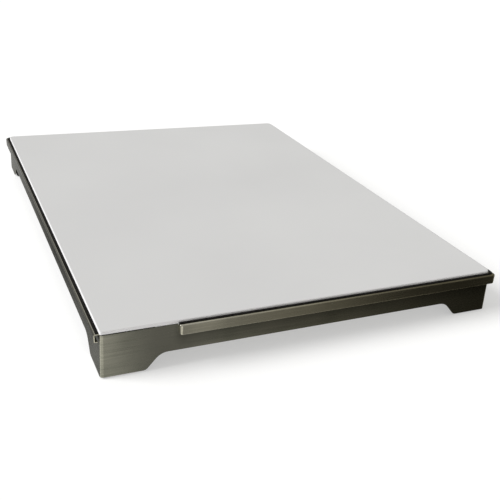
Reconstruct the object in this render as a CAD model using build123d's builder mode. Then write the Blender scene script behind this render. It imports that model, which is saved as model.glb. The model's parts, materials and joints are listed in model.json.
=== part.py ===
from build123d import *
import os
from math import radians, tan

# Animal weighing scale: a low walk-on floor scale for large dogs.
# A steel base on four levelling feet carries four load cells. A weighing deck stands on the cells,
# a folded steel tray drops over the deck, and a loose mat lies on the tray.
# Millimetres. +Z is up, +Y runs along the scale, and the origin is on the floor under its middle.

# Overall size, over the tray's flange and up to the top of the mat
LENGTH = 1000.0
WIDTH = 720.0
HEIGHT = 80.0

# Skirt: four folded sheets that end in a short foot at each corner
LIP_OVERHANG = 8.0
SKIRT_X = WIDTH / 2 - LIP_OVERHANG
SKIRT_Y = LENGTH / 2 - LIP_OVERHANG
SKIRT_SHEET = 1.5
SKIRT_BEND = 5.0
SKIRT_BOTTOM = 2.5
SKIRT_TOP = 70.5
SKIRT_RETURN = 14.0
SEAM = 0.2
CUTOUT_TOP = 28.5
FOOT_TOE = 68.5
FOOT_SHOULDER = 91.5
FOOT_FLAT = 30.0
TOE_RADIUS = 10.0
SHOULDER_RADIUS = 25.0
INNER_X = SKIRT_X - SKIRT_SHEET
INNER_Y = SKIRT_Y - SKIRT_SHEET
# How far a cutting shape reaches past what it cuts
CLEAR = 1.0

# Tray: a folded pan over the deck, cut away at its front left corner
TRAY_SHEET = 1.5
MAT_THICKNESS = 5.0
TRAY_TOP = HEIGHT - MAT_THICKNESS
TRAY_BOTTOM = 57.0
TRAY_CORNER = 7.0
TRAY_BEND = 3.0
HEM = 4.0
NOTCH_X = -234.0
NOTCH_Y = -488.0
NOTCH_RADIUS = 4.5
RETURN_GAP = 0.5
RETURN_FRONT = LENGTH / 2 - 1.0
RETURN_TOP = TRAY_TOP - 1.0
TAB_TOP = 73.7
TAB_DEPTH = 2.3

# Mat and the dark edge gasket round it
MAT_CORNER = 10.0
MAT_SHARP_CORNER = 3.0
MAT_EDGE = 1.0
GASKET_GAP = 0.2
GASKET_WIDTH = 4.8
GASKET_HEIGHT = 1.2

# Corner plates, with a tongue under the load cell's free end
PLATE_BOTTOM = 22.0
PLATE_TOP = 26.0
PLATE_SIZE = 82.5
PLATE_CORNER = 6.0
UPSTAND = 14.0
UPSTAND_SHEET = 2.0
TONGUE_WIDTH = 28.0
TONGUE_LENGTH = 52.0

# Stiffening channels behind the skirt, and the crossbar between them
RAIL_BOTTOM = 30.0
RAIL_TOP = 52.0
RAIL_DEPTH = 20.0
RAIL_SHEET = 2.0
SIDE_RAIL_LENGTH = 800.0
END_RAIL_LENGTH = 516.0
CROSSBAR_WIDTH = 110.0
CROSSBAR_SHEET = 3.0
CROSSBAR_EDGE_TOP = 40.0
CROSSBAR_CLEARANCE = 0.5
CROSSBAR_BOTTOM = RAIL_BOTTOM + RAIL_SHEET

# Load cells: bending beams along Y, bolted down at the outer end
CELL_X = 282.0
CELL_WIDTH = 24.0
CELL_BOTTOM = 28.0
CELL_TOP = 50.0
CELL_INNER_Y = 360.0
CELL_OUTER_Y = 480.0
CELL_BOLT_Y = (443.0, 468.0)
CELL_BOLT_RADIUS = 4.0
CELL_HEAD_RADIUS = 6.5
CELL_HEAD_HEIGHT = 8.0
CELL_CHAMFER = 1.0
COUNTERBORE_RADIUS = 7.0
COUNTERBORE_DEPTH = 8.5
BOLT_CLEARANCE = 0.25
BOLT_TIP = 21.0
GAUGE_Y = 407.0
GAUGE_RADIUS = 6.5
GAUGE_SPACING = 14.0
GAUGE_SLOT = 3.0
LOAD_Y = 372.0
STUD_RADIUS = 4.0
STUD_BOTTOM = 40.0
STUD_TOP = 52.5
STUD_CHAMFER = 0.5
PAD_RADIUS = 12.0
PAD_TOP = 54.0
STOP_TIP = 26.95
STOP_BOTTOM = 17.0
SPACER_LENGTH = 48.0

# Levelling feet: rubber blocks on threaded stems
BLOCK_X = 326.0
BLOCK_Y = 453.0
BLOCK_WIDTH = 44.0
BLOCK_LENGTH = 70.0
BLOCK_HEIGHT = 15.0
BLOCK_CHAMFER = 3.0
BLOCK_CORNER = 4.0
STEM_RADIUS = 5.0
STEM_FIT = 0.05
STEM_SOCKET_DEPTH = 11.0
STEM_TOP = 46.0
STEM_CHAMFER = 1.0
FLANGE_RADIUS = 9.0
FLANGE_HEIGHT = 2.0
LOCK_NUT_RADIUS = 9.2
LOCK_NUT_HEIGHT = 6.0
HEX_KEY_RADIUS = 3.4
HEX_KEY_DEPTH = 5.0

# Weighing deck: two long tubes and three cross tubes
DECK_BOTTOM = 56.0
DECK_TOP = 71.0
DECK_TUBE = 40.0
DECK_WALL = 2.0
DECK_LENGTH = 930.0
CUP_RADIUS = 17.0
CUP_RIM = 51.5
CUP_FIT = 0.5
REST_RADIUS = 15.0
REST_SPACING = 220.0
REST_COUNT = 5
STIFFENER_SPACING = 124.0
STIFFENER_WIDTH = 50.0
STIFFENER_CROWN = 30.0
STIFFENER_BOTTOM = 61.0
STIFFENER_LENGTH = 510.0

# Junction box on the crossbar
BOX_X = 45.0
BOX_Y = 35.0
BOX_WALL = 2.0
BOX_BOTTOM = CROSSBAR_BOTTOM + CROSSBAR_SHEET
BOX_RIM = 51.5
LID_TOP = 53.5
BOX_SCREW_X = 40.5
BOX_SCREW_Y = 30.5
BOX_POST_RADIUS = 4.0
BOX_SCREW_RADIUS = 1.5
BOX_HEAD_RADIUS = 2.8
BOX_HEAD_HEIGHT = 1.4
BOX_SLOT = 0.7
BOX_CORNER = 4.0
BOARD_BOTTOM = 39.5
BOARD_SHEET = 1.6
BOARD_X = 62.0
BOARD_Y = 56.0
TERMINAL_SIZE = (8.0, 15.0, 8.0)

# Cables and their glands
CABLE_RADIUS = 2.5
CABLE_Z = 43.0
CABLE_ENTRY = 18.0
CABLE_EXIT_Y = 430.0
CABLE_TURN_X = 318.0
CABLE_LANE_X = 340.0
CABLE_DIAGONAL = 26.0
RUN_SHARE = 0.45
BOX_GLAND_RADIUS = 6.0
BOX_GLAND_STUB = 4.0
BOX_GLAND_LENGTH = 10.0
CORD_BORE = 3.5
CLIP_SPACING = 110.0
CLIP_LENGTH = 10.0

# Cord gland in the rear skirt
GLAND_X = 180.0
GLAND_Z = 41.0
GLAND_STUB = 6.0
GLAND_FLANGE = 9.5
GLAND_FLANGE_THICKNESS = 3.0
GLAND_DOME = 7.0
GLAND_OUTSIDE = 7.5
GLAND_INSIDE = 13.0
GLAND_NUT_THICKNESS = 4.0

CORNERS = {
    "front_left": (-1, -1),
    "front_right": (1, -1),
    "rear_left": (-1, 1),
    "rear_right": (1, 1),
}
SIDES = {"left": -1, "right": 1}
ENDS = {"front": -1, "rear": 1}


def save(piece, name):
    """Label one finished sub-part and write it to its own file."""
    piece.part.label = name
    export_step(piece.part, f"parts/{name}.step")


def slab(x, y, width, length, bottom, top, mode=Mode.ADD):
    """A rectangular block between two levels, centred at (x, y)."""
    with BuildSketch(Plane.XY.offset(bottom)) as outline:
        with Locations((x, y)):
            Rectangle(width, length)
    extrude(outline.sketch, amount=top - bottom, mode=mode)


def disc(x, y, radius, bottom, top, mode=Mode.ADD):
    """A round block between two levels, centred at (x, y)."""
    with BuildSketch(Plane.XY.offset(bottom)) as outline:
        with Locations((x, y)):
            Circle(radius)
    extrude(outline.sketch, amount=top - bottom, mode=mode)


def hexagon(x, y, radius, bottom, top, mode=Mode.ADD):
    """A hexagonal block between two levels; the radius is across its corners."""
    with BuildSketch(Plane.XY.offset(bottom)) as outline:
        with Locations((x, y)):
            RegularPolygon(radius, 6)
    extrude(outline.sketch, amount=top - bottom, mode=mode)


def skirt_sheet(x_low, x_high, y_low, y_high, bottom, top):
    """The stretch of the skirt's rounded ring that lies inside one rectangle."""
    with BuildSketch(Plane.XY.offset(bottom)) as ring:
        RectangleRounded(2 * SKIRT_X, 2 * SKIRT_Y, SKIRT_BEND)
        RectangleRounded(2 * INNER_X, 2 * INNER_Y, SKIRT_BEND - SKIRT_SHEET, mode=Mode.SUBTRACT)
        with Locations(((x_low + x_high) / 2, (y_low + y_high) / 2)):
            Rectangle(x_high - x_low, y_high - y_low, mode=Mode.INTERSECT)
    extrude(ring.sketch, amount=top - bottom)


def cut_between_feet(plane, half_span):
    """Cut the long low opening between two feet, with a rounded toe and shoulder at each end."""
    flat = half_span - FOOT_FLAT
    toe = half_span - FOOT_TOE
    shoulder = half_span - FOOT_SHOULDER
    below = SKIRT_BOTTOM - CLEAR
    with BuildSketch(plane) as opening:
        with BuildLine():
            Polyline(
                (-flat, SKIRT_BOTTOM),
                (-toe, SKIRT_BOTTOM),
                (-shoulder, CUTOUT_TOP),
                (shoulder, CUTOUT_TOP),
                (toe, SKIRT_BOTTOM),
                (flat, SKIRT_BOTTOM),
                (flat, below),
                (-flat, below),
                close=True,
            )
        make_face()
        fillet(opening.vertices().group_by(Axis.Y)[1].sort_by(Axis.X)[1:3], TOE_RADIUS)
        fillet(opening.vertices().group_by(Axis.Y)[-1], SHOULDER_RADIUS)
    extrude(opening.sketch, amount=SKIRT_RETURN, both=True, mode=Mode.SUBTRACT)


def end_skirt(name, sy):
    """Front or rear skirt, with its two corner bends and short returns."""
    y_edges = sorted((sy * (SKIRT_Y + CLEAR), sy * (SKIRT_Y - SKIRT_RETURN)))
    with BuildPart() as skirt:
        skirt_sheet(-SKIRT_X - CLEAR, SKIRT_X + CLEAR, *y_edges, SKIRT_BOTTOM, SKIRT_TOP)
        cut_between_feet(Plane.XZ.offset(-sy * SKIRT_Y), SKIRT_X)
        if name == "front":
            # The raised tab that fills the tray's cut-away corner
            skirt_sheet(-SKIRT_X, NOTCH_X, -SKIRT_Y, TAB_DEPTH - SKIRT_Y, SKIRT_TOP, TAB_TOP)
        else:
            with BuildSketch(Plane.XZ.offset(-SKIRT_Y)) as hole:
                with Locations((GLAND_X, GLAND_Z)):
                    Circle(GLAND_STUB)
            extrude(hole.sketch, amount=SKIRT_RETURN, both=True, mode=Mode.SUBTRACT)
    save(skirt, f"skirt_{name}")


def side_skirt(name, sx):
    """Left or right skirt, butted between the returns of the end skirts."""
    x_edges = sorted((sx * (SKIRT_X + CLEAR), sx * (SKIRT_X - SKIRT_RETURN)))
    reach = SKIRT_Y - SKIRT_RETURN - SEAM
    with BuildPart() as skirt:
        skirt_sheet(*x_edges, -reach, reach, SKIRT_BOTTOM, SKIRT_TOP)
        cut_between_feet(Plane.YZ.offset(sx * SKIRT_X), SKIRT_Y)
    save(skirt, f"skirt_{name}")


def corner_plate(name, sx, sy):
    """The plate that holds one foot and one load cell, welded inside the corner of the skirt."""
    centre_x = sx * (INNER_X - PLATE_SIZE / 2)
    centre_y = sy * (INNER_Y - PLATE_SIZE / 2)
    tongue_y = sy * (INNER_Y - PLATE_SIZE - TONGUE_LENGTH / 2)
    stand_top = PLATE_TOP + UPSTAND
    stand_length = PLATE_SIZE - PLATE_CORNER
    with BuildPart() as plate:
        with BuildSketch(Plane.XY.offset(PLATE_BOTTOM)) as outline:
            with Locations((centre_x, centre_y)):
                RectangleRounded(PLATE_SIZE, PLATE_SIZE, PLATE_CORNER)
        extrude(outline.sketch, amount=PLATE_TOP - PLATE_BOTTOM)
        slab(sx * CELL_X, tongue_y, TONGUE_WIDTH, TONGUE_LENGTH, PLATE_BOTTOM, PLATE_TOP)
        slab(
            sx * (INNER_X - UPSTAND_SHEET / 2),
            sy * (INNER_Y - PLATE_CORNER - stand_length / 2),
            UPSTAND_SHEET,
            stand_length - PLATE_CORNER,
            PLATE_TOP,
            stand_top,
        )
        slab(
            sx * (INNER_X - PLATE_CORNER - stand_length / 2),
            sy * (INNER_Y - UPSTAND_SHEET / 2),
            stand_length - PLATE_CORNER,
            UPSTAND_SHEET,
            PLATE_TOP,
            stand_top,
        )
        disc(sx * BLOCK_X, sy * BLOCK_Y, STEM_RADIUS + STEM_FIT, PLATE_BOTTOM, PLATE_TOP, Mode.SUBTRACT)
        for bolt_y in CELL_BOLT_Y:
            disc(sx * CELL_X, sy * bolt_y, CELL_BOLT_RADIUS, PLATE_BOTTOM, PLATE_TOP, Mode.SUBTRACT)
        disc(sx * CELL_X, sy * LOAD_Y, STUD_RADIUS, PLATE_BOTTOM, PLATE_TOP, Mode.SUBTRACT)
    save(plate, f"corner_plate_{name}")


def rail_profile(plane, direction):
    """A channel section that stands against a skirt and opens towards the middle of the scale."""
    middle = (RAIL_BOTTOM + RAIL_TOP) / 2
    height = RAIL_TOP - RAIL_BOTTOM
    with BuildSketch(plane) as section:
        with Locations((direction * RAIL_DEPTH / 2, middle)):
            Rectangle(RAIL_DEPTH, height)
        with Locations((direction * (RAIL_DEPTH + RAIL_SHEET) / 2, middle)):
            Rectangle(RAIL_DEPTH - RAIL_SHEET, height - 2 * RAIL_SHEET, mode=Mode.SUBTRACT)
    return section.sketch


def side_rail(name, sx):
    """Channel behind a side skirt; the crossbar and the cables lie in it."""
    with BuildPart() as rail:
        section = rail_profile(Plane.XZ.shift_origin((sx * INNER_X, 0, 0)), -sx)
        extrude(section, amount=SIDE_RAIL_LENGTH / 2, both=True)
    save(rail, f"side_rail_{name}")


def end_rail(name, sy):
    """Channel behind an end skirt; the rear one has the hole for the cord gland."""
    with BuildPart() as rail:
        section = rail_profile(Plane.YZ.shift_origin((0, sy * INNER_Y, 0)), -sy)
        extrude(section, amount=END_RAIL_LENGTH / 2, both=True)
        if name == "rear":
            with BuildSketch(Plane.XZ.offset(-INNER_Y)) as hole:
                with Locations((GLAND_X, GLAND_Z)):
                    Circle(GLAND_STUB)
            extrude(hole.sketch, amount=RAIL_DEPTH, both=True, mode=Mode.SUBTRACT)
    save(rail, f"end_rail_{name}")


def crossbar():
    """Shallow channel from rail to rail that carries the junction box."""
    width = 2 * (INNER_X - RAIL_SHEET - CROSSBAR_CLEARANCE)
    edge_width = 2 * (INNER_X - RAIL_DEPTH - CROSSBAR_CLEARANCE)
    edge_y = (CROSSBAR_WIDTH - CROSSBAR_SHEET) / 2
    with BuildPart() as bar:
        slab(0, 0, width, CROSSBAR_WIDTH, CROSSBAR_BOTTOM, BOX_BOTTOM)
        for sy in ENDS.values():
            slab(0, sy * edge_y, edge_width, CROSSBAR_SHEET, BOX_BOTTOM, CROSSBAR_EDGE_TOP)
    save(bar, "crossbar")


def load_cell(name, sx, sy):
    """Aluminium bending beam with the double-bore gauge section in its middle."""
    length = CELL_OUTER_Y - CELL_INNER_Y
    middle_y = sy * (CELL_OUTER_Y + CELL_INNER_Y) / 2
    middle_z = (CELL_BOTTOM + CELL_TOP) / 2
    head_seat = CELL_TOP - COUNTERBORE_DEPTH
    with BuildPart() as cell:
        slab(sx * CELL_X, middle_y, CELL_WIDTH, length, CELL_BOTTOM, CELL_TOP)
        chamfer(cell.edges().filter_by(Axis.Z), CELL_CHAMFER)
        with BuildSketch(Plane.YZ.offset(sx * CELL_X)) as gauge:
            with Locations((sy * GAUGE_Y, middle_z)):
                with GridLocations(GAUGE_SPACING, 0, 2, 1):
                    Circle(GAUGE_RADIUS)
                Rectangle(GAUGE_SPACING, GAUGE_SLOT)
        extrude(gauge.sketch, amount=CELL_WIDTH, both=True, mode=Mode.SUBTRACT)
        for bolt_y in CELL_BOLT_Y:
            radius = CELL_BOLT_RADIUS + BOLT_CLEARANCE
            disc(sx * CELL_X, sy * bolt_y, radius, CELL_BOTTOM, CELL_TOP, Mode.SUBTRACT)
            disc(sx * CELL_X, sy * bolt_y, COUNTERBORE_RADIUS, head_seat, CELL_TOP, Mode.SUBTRACT)
        disc(sx * CELL_X, sy * LOAD_Y, STUD_RADIUS, STUD_BOTTOM, CELL_TOP, Mode.SUBTRACT)
    save(cell, f"load_cell_{name}")


def cell_hardware():
    """Spacers, bolts, load studs, rubber pads and overload stops of the four load cells."""
    spacer_y = CELL_OUTER_Y - SPACER_LENGTH / 2
    head_bottom = CELL_TOP - COUNTERBORE_DEPTH
    head_top = head_bottom + CELL_HEAD_HEIGHT
    with BuildPart() as spacers:
        for sx, sy in CORNERS.values():
            slab(sx * CELL_X, sy * spacer_y, CELL_WIDTH, SPACER_LENGTH, PLATE_TOP, CELL_BOTTOM)
            for bolt_y in CELL_BOLT_Y:
                radius = CELL_BOLT_RADIUS + BOLT_CLEARANCE
                disc(sx * CELL_X, sy * bolt_y, radius, PLATE_TOP, CELL_BOTTOM, Mode.SUBTRACT)
    save(spacers, "cell_spacers")

    with BuildPart() as bolts:
        for sx, sy in CORNERS.values():
            for bolt_y in CELL_BOLT_Y:
                x, y = sx * CELL_X, sy * bolt_y
                disc(x, y, CELL_BOLT_RADIUS, BOLT_TIP, head_bottom)
                disc(x, y, CELL_HEAD_RADIUS, head_bottom, head_top)
                hexagon(x, y, HEX_KEY_RADIUS, head_top - HEX_KEY_DEPTH, head_top, Mode.SUBTRACT)
    save(bolts, "cell_bolts")

    with BuildPart() as studs:
        for sx, sy in CORNERS.values():
            disc(sx * CELL_X, sy * LOAD_Y, STUD_RADIUS, STUD_BOTTOM, STUD_TOP)
        chamfer(studs.edges().group_by(Axis.Z)[-1], STUD_CHAMFER)
    save(studs, "load_studs")

    with BuildPart() as pads:
        for sx, sy in CORNERS.values():
            disc(sx * CELL_X, sy * LOAD_Y, PAD_RADIUS, CELL_TOP, PAD_TOP)
            disc(sx * CELL_X, sy * LOAD_Y, STUD_RADIUS, CELL_TOP, PAD_TOP, Mode.SUBTRACT)
    save(pads, "load_pads")

    with BuildPart() as stops:
        for sx, sy in CORNERS.values():
            x, y = sx * CELL_X, sy * LOAD_Y
            disc(x, y, STUD_RADIUS, STOP_BOTTOM, STOP_TIP)
            hexagon(x, y, STUD_RADIUS / 2, STOP_BOTTOM, STOP_BOTTOM + STUD_RADIUS, Mode.SUBTRACT)
    save(stops, "overload_stops")


def foot(name, sx, sy):
    """One levelling foot: a rubber block that turns freely on a threaded stem."""
    x, y = sx * BLOCK_X, sy * BLOCK_Y
    socket_bottom = BLOCK_HEIGHT - STEM_SOCKET_DEPTH
    flange_top = BLOCK_HEIGHT + FLANGE_HEIGHT
    with BuildPart() as block:
        slab(x, y, BLOCK_WIDTH, BLOCK_LENGTH, 0, BLOCK_HEIGHT)
        fillet(block.edges().filter_by(Axis.Z), BLOCK_CORNER)
        chamfer(block.edges().group_by(Axis.Z)[0], BLOCK_CHAMFER)
        disc(x, y, STEM_RADIUS + STEM_FIT, socket_bottom, BLOCK_HEIGHT, Mode.SUBTRACT)
    save(block, f"foot_block_{name}")

    with BuildPart() as stem:
        disc(x, y, STEM_RADIUS, socket_bottom, STEM_TOP)
        disc(x, y, FLANGE_RADIUS, BLOCK_HEIGHT, flange_top)
        chamfer(stem.edges().group_by(Axis.Z)[-1], STEM_CHAMFER)
        hexagon(x, y, HEX_KEY_RADIUS, STEM_TOP - HEX_KEY_DEPTH, STEM_TOP, Mode.SUBTRACT)
    save(stem, f"foot_stem_{name}")


def foot_lock_nuts():
    """Lock nuts on the four stems, tightened down on the corner plates."""
    with BuildPart() as nuts:
        for sx, sy in CORNERS.values():
            x, y = sx * BLOCK_X, sy * BLOCK_Y
            top = PLATE_TOP + LOCK_NUT_HEIGHT
            hexagon(x, y, LOCK_NUT_RADIUS, PLATE_TOP, top)
            disc(x, y, STEM_RADIUS + STEM_FIT, PLATE_TOP, top, Mode.SUBTRACT)
    save(nuts, "foot_lock_nuts")


def junction_box():
    """The box that joins the four cell cables: shell, lid, screws, board and terminals."""
    with BuildPart() as box:
        slab(0, 0, 2 * BOX_X, 2 * BOX_Y, BOX_BOTTOM, BOX_RIM)
        fillet(box.edges().filter_by(Axis.Z), BOX_CORNER)
        slab(
            0, 0, 2 * (BOX_X - BOX_WALL), 2 * (BOX_Y - BOX_WALL),
            BOX_BOTTOM + BOX_WALL, BOX_RIM, Mode.SUBTRACT,
        )
        for sx, sy in CORNERS.values():
            x, y = sx * BOX_SCREW_X, sy * BOX_SCREW_Y
            disc(x, y, BOX_POST_RADIUS, BOX_BOTTOM, BOX_RIM)
            disc(x, y, BOX_SCREW_RADIUS, BOX_BOTTOM + BOX_WALL, BOX_RIM, Mode.SUBTRACT)
            slab(sx * BOARD_X / 4, sy * BOARD_Y / 4, CABLE_RADIUS, CABLE_RADIUS, BOX_BOTTOM, BOARD_BOTTOM)
        with BuildSketch(Plane.YZ) as entries:
            with Locations((0, CABLE_Z)):
                with GridLocations(2 * CABLE_ENTRY, 0, 2, 1):
                    Circle(BOX_GLAND_STUB)
        extrude(entries.sketch, amount=2 * BOX_X, both=True, mode=Mode.SUBTRACT)
        with BuildSketch(Plane.XZ.offset(-BOX_Y)) as cord_entry:
            with Locations((0, CABLE_Z)):
                Circle(BOX_GLAND_STUB + CLEAR)
        extrude(cord_entry.sketch, amount=2 * BOX_WALL, both=True, mode=Mode.SUBTRACT)
    save(box, "junction_box")

    with BuildPart() as lid:
        slab(0, 0, 2 * BOX_X, 2 * BOX_Y, BOX_RIM, LID_TOP)
        fillet(lid.edges().filter_by(Axis.Z), BOX_CORNER)
        for sx, sy in CORNERS.values():
            x, y = sx * BOX_SCREW_X, sy * BOX_SCREW_Y
            disc(x, y, BOX_SCREW_RADIUS, BOX_RIM, LID_TOP, Mode.SUBTRACT)
            disc(x, y, BOX_HEAD_RADIUS, LID_TOP - BOX_HEAD_HEIGHT, LID_TOP, Mode.SUBTRACT)
    save(lid, "junction_box_lid")

    with BuildPart() as screws:
        for sx, sy in CORNERS.values():
            x, y = sx * BOX_SCREW_X, sy * BOX_SCREW_Y
            disc(x, y, BOX_SCREW_RADIUS, BOX_BOTTOM + 2 * BOX_WALL, LID_TOP - BOX_HEAD_HEIGHT)
            disc(x, y, BOX_HEAD_RADIUS, LID_TOP - BOX_HEAD_HEIGHT, LID_TOP)
            slot_bottom = LID_TOP - BOX_SLOT
            slab(x, y, BOX_HEAD_RADIUS, BOX_SLOT, slot_bottom, LID_TOP, Mode.SUBTRACT)
    save(screws, "junction_box_screws")

    board_top = BOARD_BOTTOM + BOARD_SHEET
    with BuildPart() as board:
        slab(0, 0, BOARD_X, BOARD_Y, BOARD_BOTTOM, board_top)
    save(board, "junction_board")

    width, length, height = TERMINAL_SIZE
    with BuildPart() as terminals:
        for sx, sy in CORNERS.values():
            slab(sx * (BOARD_X - width) / 2, sy * CABLE_ENTRY, width, length, board_top, board_top + height)
        slab(0, (BOARD_Y - width) / 2, length, width, board_top, board_top + height)
    save(terminals, "terminal_blocks")


def box_glands():
    """Four glands for the cell cables and a larger one, left open, for the output cord."""
    with BuildPart() as glands:
        for sx, sy in CORNERS.values():
            wall_plane = Plane(
                origin=(sx * (BOX_X - BOX_WALL), sy * CABLE_ENTRY, CABLE_Z),
                x_dir=(0, 1, 0),
                z_dir=(sx, 0, 0),
            )
            gland(wall_plane, BOX_GLAND_STUB, BOX_GLAND_RADIUS, CABLE_RADIUS)
        rear_plane = Plane(origin=(0, BOX_Y - BOX_WALL, CABLE_Z), x_dir=(1, 0, 0), z_dir=(0, 1, 0))
        gland(rear_plane, BOX_GLAND_STUB + CLEAR, BOX_GLAND_RADIUS + CLEAR, CORD_BORE)
    save(glands, "box_glands")


def gland(wall_plane, stub, radius, bore):
    """One gland through a box wall, with its bore."""
    with BuildSketch(wall_plane) as neck:
        Circle(stub)
    extrude(neck.sketch, amount=BOX_WALL)
    with BuildSketch(wall_plane.offset(BOX_WALL)) as body:
        Circle(radius)
    extrude(body.sketch, amount=BOX_GLAND_LENGTH)
    with BuildSketch(wall_plane) as passage:
        Circle(bore)
    extrude(passage.sketch, amount=BOX_WALL + BOX_GLAND_LENGTH, mode=Mode.SUBTRACT)


def bend_radii(points):
    """The largest radius that each corner of a cable's route has room for."""
    radii = []
    for before, here, after in zip(points, points[1:], points[2:]):
        run_in = Vector(*here) - Vector(*before)
        run_out = Vector(*after) - Vector(*here)
        half_turn = radians(run_in.get_angle(run_out) / 2)
        radii.append(RUN_SHARE * min(run_in.length, run_out.length) / tan(half_turn))
    return radii


def cell_cable(name, sx, sy):
    """Cable from a load cell, along the side rail and over the crossbar to the junction box."""
    lane_start = CABLE_EXIT_Y - (CABLE_LANE_X - CABLE_TURN_X)
    lane_end = CABLE_ENTRY + CABLE_DIAGONAL
    points = [
        (sx * (CELL_X + CELL_WIDTH / 2), sy * CABLE_EXIT_Y, CABLE_Z),
        (sx * CABLE_TURN_X, sy * CABLE_EXIT_Y, CABLE_Z),
        (sx * CABLE_LANE_X, sy * lane_start, CABLE_Z),
        (sx * CABLE_LANE_X, sy * lane_end, CABLE_Z),
        (sx * (CABLE_LANE_X - CABLE_DIAGONAL), sy * CABLE_ENTRY, CABLE_Z),
        (sx * (BOX_X - BOX_WALL), sy * CABLE_ENTRY, CABLE_Z),
    ]
    radii = bend_radii(points)
    print(name, "cable bend radii", [round(radius, 1) for radius in radii])
    with BuildPart() as cable:
        with BuildLine() as route:
            FilletPolyline(*points, radius=radii)
        with BuildSketch(Plane(origin=points[0], z_dir=(sx, 0, 0))) as section:
            Circle(CABLE_RADIUS)
        sweep(section.sketch, path=route.line)
    expected = section.sketch.area * sum(edge.length for edge in route.edges())
    print(name, "cable volume", round(cable.part.volume), "section times length", round(expected))
    save(cable, f"cell_cable_{name}")


def cable_clips():
    """Nylon clips that hold the cell cables inside the side rails."""
    clip_width = INNER_X - RAIL_SHEET - CABLE_LANE_X + 2 * CABLE_RADIUS
    clip_x = INNER_X - RAIL_SHEET - clip_width / 2
    with BuildPart() as clips:
        for sx, sy in CORNERS.values():
            for step in (1, 2, 3):
                y = sy * step * CLIP_SPACING
                bottom = CABLE_Z - 2 * CABLE_RADIUS
                slab(sx * clip_x, y, clip_width, CLIP_LENGTH, bottom, CABLE_Z + 2 * CABLE_RADIUS)
                with BuildSketch(Plane.XZ.offset(-y)) as passage:
                    with Locations((sx * CABLE_LANE_X, CABLE_Z)):
                        Circle(CABLE_RADIUS)
                extrude(passage.sketch, amount=CLIP_LENGTH, both=True, mode=Mode.SUBTRACT)
    save(clips, "cable_clips")


def cord_gland():
    """Gland for the indicator's cord in the rear skirt, with its lock nut inside the rear rail."""
    outside = Plane(origin=(GLAND_X, SKIRT_Y, GLAND_Z), x_dir=(1, 0, 0), z_dir=(0, 1, 0))
    nut_face = outside.offset(-SKIRT_SHEET - RAIL_SHEET)
    with BuildPart() as body:
        with BuildSketch(outside) as flange:
            RegularPolygon(GLAND_FLANGE, 6)
        extrude(flange.sketch, amount=GLAND_FLANGE_THICKNESS)
        with BuildSketch(outside) as dome:
            Circle(GLAND_DOME)
        extrude(dome.sketch, amount=GLAND_OUTSIDE)
        fillet(body.faces().sort_by(Axis.Y)[-1].edges(), GLAND_FLANGE_THICKNESS)
        with BuildSketch(outside) as stub:
            Circle(GLAND_STUB)
        extrude(stub.sketch, amount=-GLAND_INSIDE)
        with BuildSketch(outside.offset(GLAND_OUTSIDE)) as passage:
            Circle(CORD_BORE)
        extrude(passage.sketch, amount=-GLAND_OUTSIDE - GLAND_INSIDE, mode=Mode.SUBTRACT)
    save(body, "cord_gland")

    with BuildPart() as nut:
        with BuildSketch(nut_face) as outline:
            RegularPolygon(GLAND_FLANGE - CLEAR, 6)
            Circle(GLAND_STUB, mode=Mode.SUBTRACT)
        extrude(outline.sketch, amount=-GLAND_NUT_THICKNESS)
    save(nut, "gland_nut")


def deck_tube(plane, length):
    """A flat rectangular tube, extruded both ways from the plane of its section."""
    height = DECK_TOP - DECK_BOTTOM
    with BuildSketch(plane) as section:
        with Locations((0, (DECK_TOP + DECK_BOTTOM) / 2)):
            RectangleRounded(DECK_TUBE, height, DECK_WALL)
            Rectangle(DECK_TUBE - 2 * DECK_WALL, height - 2 * DECK_WALL, mode=Mode.SUBTRACT)
    extrude(section.sketch, amount=length / 2, both=True)


def deck():
    """Weighing deck: long tubes over the load cells and cross tubes between them."""
    for name, sx in SIDES.items():
        with BuildPart() as rail:
            deck_tube(Plane.XZ.shift_origin((sx * CELL_X, 0, 0)), DECK_LENGTH)
        save(rail, f"deck_rail_{name}")

    cross_length = 2 * CELL_X - DECK_TUBE
    for name, y in {"front": -LOAD_Y, "middle": 0, "rear": LOAD_Y}.items():
        with BuildPart() as cross:
            deck_tube(Plane.YZ.shift_origin((0, y, 0)), cross_length)
        save(cross, f"deck_cross_{name}")

    with BuildPart() as cups:
        for sx, sy in CORNERS.values():
            x, y = sx * CELL_X, sy * LOAD_Y
            disc(x, y, CUP_RADIUS, CUP_RIM, DECK_BOTTOM)
            disc(x, y, PAD_RADIUS + CUP_FIT, CUP_RIM, PAD_TOP, Mode.SUBTRACT)
    save(cups, "load_cups")

    with BuildPart() as rests:
        for sx in SIDES.values():
            for step in range(REST_COUNT):
                y = (step - (REST_COUNT - 1) / 2) * REST_SPACING
                disc(sx * CELL_X, y, REST_RADIUS, DECK_TOP, TRAY_TOP - TRAY_SHEET)
    save(rests, "tray_rests")


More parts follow.
